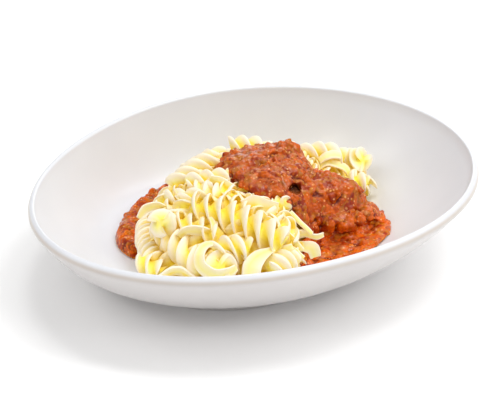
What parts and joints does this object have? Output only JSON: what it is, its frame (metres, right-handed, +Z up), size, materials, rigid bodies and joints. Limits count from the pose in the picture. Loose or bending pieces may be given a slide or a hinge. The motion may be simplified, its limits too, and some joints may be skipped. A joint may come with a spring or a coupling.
{
  "type": "pasta dish in a bowl",
  "caption": "Spiral pasta heaped in a shallow uneven oval porcelain bowl, with a thick red meat sauce over its top and right side and a narrow strip of it at the left.",
  "frame": {"origin": "on the table under the middle of the bowl's bounding box", "axes": "+X to the eater's right, +Y away from the eater, +Z up out of the bowl"},
  "size_m": [0.2308, 0.2148, 0.0594],
  "materials": {
    "porcelain": "gloss",
    "cooked_pasta": "satin",
    "meat_sauce": "gloss"
  },
  "bodies": {
    "root": {"bowl": "porcelain", "pasta": "cooked_pasta", "sauce_main": "meat_sauce", "sauce_left": "meat_sauce"}
  },
  "joints": []
}
